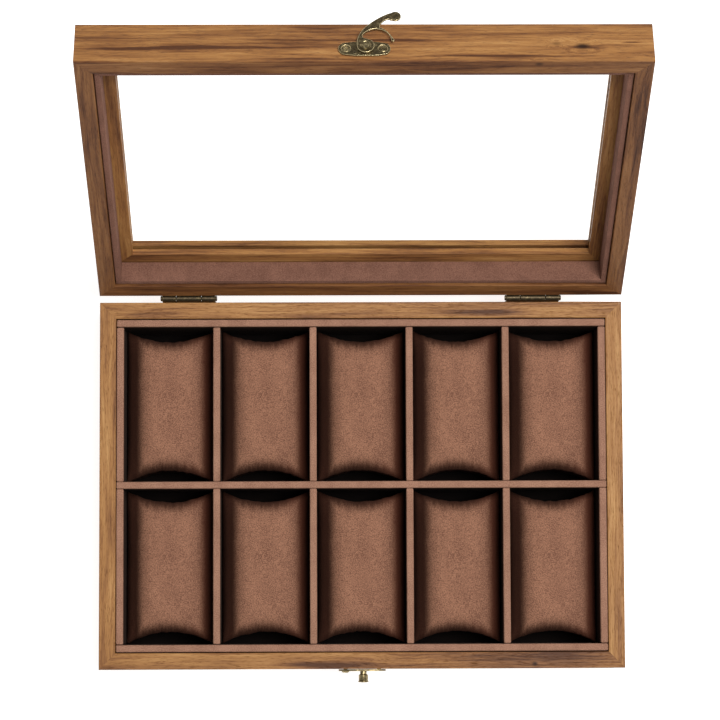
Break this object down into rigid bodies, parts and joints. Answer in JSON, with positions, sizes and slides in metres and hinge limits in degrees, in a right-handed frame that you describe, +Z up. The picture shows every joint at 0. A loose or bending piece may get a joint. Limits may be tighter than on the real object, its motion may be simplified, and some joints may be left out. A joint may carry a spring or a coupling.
{
  "type": "watch box",
  "caption": "Wooden watch box, glazed lid open on two brass hinges, swing-hook latch, and two rows of cells with brown velvet pillows",
  "frame": {"origin": "centre of the base's underside, on the surface the box stands on", "axes": "+X to the right and +Y to the back seen from the latch side, +Z up; the lid is stored open"},
  "size_m": [0.29, 0.3393, 0.2377],
  "materials": {
    "oiled_walnut": "satin oiled walnut with dark streaks",
    "floor_plywood": "plain plywood",
    "lining_suede": "brown suede-like cloth glued over board",
    "pillow_velvet": "stuffed pillow in brown velvet",
    "window_glass": "clear pane",
    "antique_brass": "antique brass, dark in the recesses and rubbed bright at the edges"
  },
  "bodies": {
    "base": {"base_front_wall": "oiled_walnut", "base_back_wall": "oiled_walnut", "base_left_wall": "oiled_walnut", "base_right_wall": "oiled_walnut", "floor_panel": "floor_plywood", "floor_lining": "lining_suede", "tray_front_liner": "lining_suede", "tray_back_liner": "lining_suede", "tray_left_liner": "lining_suede", "tray_right_liner": "lining_suede", "long_divider": "lining_suede", "cross_divider_1": "lining_suede", "cross_divider_2": "lining_suede", "cross_divider_3": "lining_suede", "cross_divider_4": "lining_suede", "catch_plate": "antique_brass", "catch_post": "antique_brass", "catch_screw_1": "antique_brass", "catch_screw_2": "antique_brass", "left_hinge_base_leaf": "antique_brass", "left_hinge_base_screw_1": "antique_brass", "left_hinge_base_screw_2": "antique_brass", "left_hinge_pin": "antique_brass", "right_hinge_base_leaf": "antique_brass", "right_hinge_base_screw_1": "antique_brass", "right_hinge_base_screw_2": "antique_brass", "right_hinge_pin": "antique_brass"},
    "lid": {"lid_front_rail": "oiled_walnut", "lid_front_liner": "lining_suede", "lid_back_rail": "oiled_walnut", "lid_back_liner": "lining_suede", "lid_left_rail": "oiled_walnut", "lid_left_liner": "lining_suede", "lid_right_rail": "oiled_walnut", "lid_right_liner": "lining_suede", "glass_pane": "window_glass", "latch_plate": "antique_brass", "latch_screw_1": "antique_brass", "latch_screw_2": "antique_brass", "hook_rivet": "antique_brass", "left_hinge_lid_leaf": "antique_brass", "left_hinge_lid_screw_1": "antique_brass", "left_hinge_lid_screw_2": "antique_brass", "right_hinge_lid_leaf": "antique_brass", "right_hinge_lid_screw_1": "antique_brass", "right_hinge_lid_screw_2": "antique_brass"},
    "hook": {"swing_hook": "antique_brass"},
    "pillow_back_1": {"pillow_back_1": "pillow_velvet"},
    "pillow_back_2": {"pillow_back_2": "pillow_velvet"},
    "pillow_back_3": {"pillow_back_3": "pillow_velvet"},
    "pillow_back_4": {"pillow_back_4": "pillow_velvet"},
    "pillow_back_5": {"pillow_back_5": "pillow_velvet"},
    "pillow_front_1": {"pillow_front_1": "pillow_velvet"},
    "pillow_front_2": {"pillow_front_2": "pillow_velvet"},
    "pillow_front_3": {"pillow_front_3": "pillow_velvet"},
    "pillow_front_4": {"pillow_front_4": "pillow_velvet"},
    "pillow_front_5": {"pillow_front_5": "pillow_velvet"}
  },
  "joints": [
    {"name": "lid_hinge", "type": "hinge", "parent": "base", "child": "lid", "pos_m": [0, 0.1035, 0.0582], "axis": [-1, 0, 0], "range_deg": [-118.8, 0]},
    {"name": "hook_swing", "type": "hinge", "parent": "lid", "child": "hook", "pos_m": [0.0006, 0.21071, 0.23474], "axis": [0, 0.4818, 0.8763], "range_deg": [-130, 85]},
    {"name": "pillow_back_1_lift", "type": "slide", "parent": "base", "child": "pillow_back_1", "axis": [0, 0, 1], "range_m": [0, 0.09]},
    {"name": "pillow_back_2_lift", "type": "slide", "parent": "base", "child": "pillow_back_2", "axis": [0, 0, 1], "range_m": [0, 0.09]},
    {"name": "pillow_back_3_lift", "type": "slide", "parent": "base", "child": "pillow_back_3", "axis": [0, 0, 1], "range_m": [0, 0.09]},
    {"name": "pillow_back_4_lift", "type": "slide", "parent": "base", "child": "pillow_back_4", "axis": [0, 0, 1], "range_m": [0, 0.09]},
    {"name": "pillow_back_5_lift", "type": "slide", "parent": "base", "child": "pillow_back_5", "axis": [0, 0, 1], "range_m": [0, 0.09]},
    {"name": "pillow_front_1_lift", "type": "slide", "parent": "base", "child": "pillow_front_1", "axis": [0, 0, 1], "range_m": [0, 0.09]},
    {"name": "pillow_front_2_lift", "type": "slide", "parent": "base", "child": "pillow_front_2", "axis": [0, 0, 1], "range_m": [0, 0.09]},
    {"name": "pillow_front_3_lift", "type": "slide", "parent": "base", "child": "pillow_front_3", "axis": [0, 0, 1], "range_m": [0, 0.09]},
    {"name": "pillow_front_4_lift", "type": "slide", "parent": "base", "child": "pillow_front_4", "axis": [0, 0, 1], "range_m": [0, 0.09]},
    {"name": "pillow_front_5_lift", "type": "slide", "parent": "base", "child": "pillow_front_5", "axis": [0, 0, 1], "range_m": [0, 0.09]}
  ]
}
